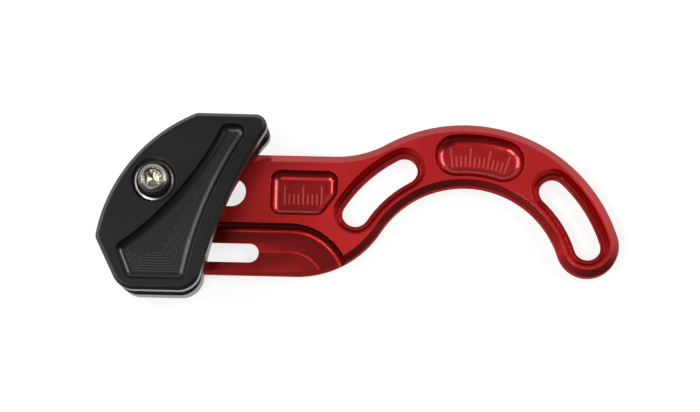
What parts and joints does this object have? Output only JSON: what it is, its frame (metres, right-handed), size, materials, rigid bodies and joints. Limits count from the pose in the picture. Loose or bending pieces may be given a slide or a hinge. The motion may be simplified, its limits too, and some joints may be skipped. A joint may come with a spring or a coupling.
{
  "type": "bicycle chain guide",
  "caption": "Hook-shaped slotted backplate with a two-plate cage that slides along it to keep a bicycle chain on its chainring.",
  "frame": {"origin": "bottom-bracket axis, the centre of the curved mounting slots, on the backplate's rear face", "axes": "+X from the cage towards the mounting arm, +Y towards the arm's crown, +Z from the bicycle frame towards the chainring"},
  "size_m": [0.1111, 0.039, 0.0225],
  "materials": {
    "red_anodised": "satin anodised",
    "black_anodised": "satin anodised",
    "black_acetal": "machined",
    "stainless": "turned"
  },
  "bodies": {
    "backplate": {"backplate": "red_anodised"},
    "cage": {"inner_guide_plate": "black_anodised", "outer_guide_plate": "black_anodised", "cage_spacer": "black_acetal", "spacer_dowels": "stainless", "cage_bolt": "stainless", "slot_nut": "stainless", "clamp_screw": "stainless"}
  },
  "joints": [
    {"name": "cage_slide", "type": "slide", "parent": "backplate", "child": "cage", "axis": [1, 0, 0], "range_m": [-0.0019, 0.0142]}
  ]
}
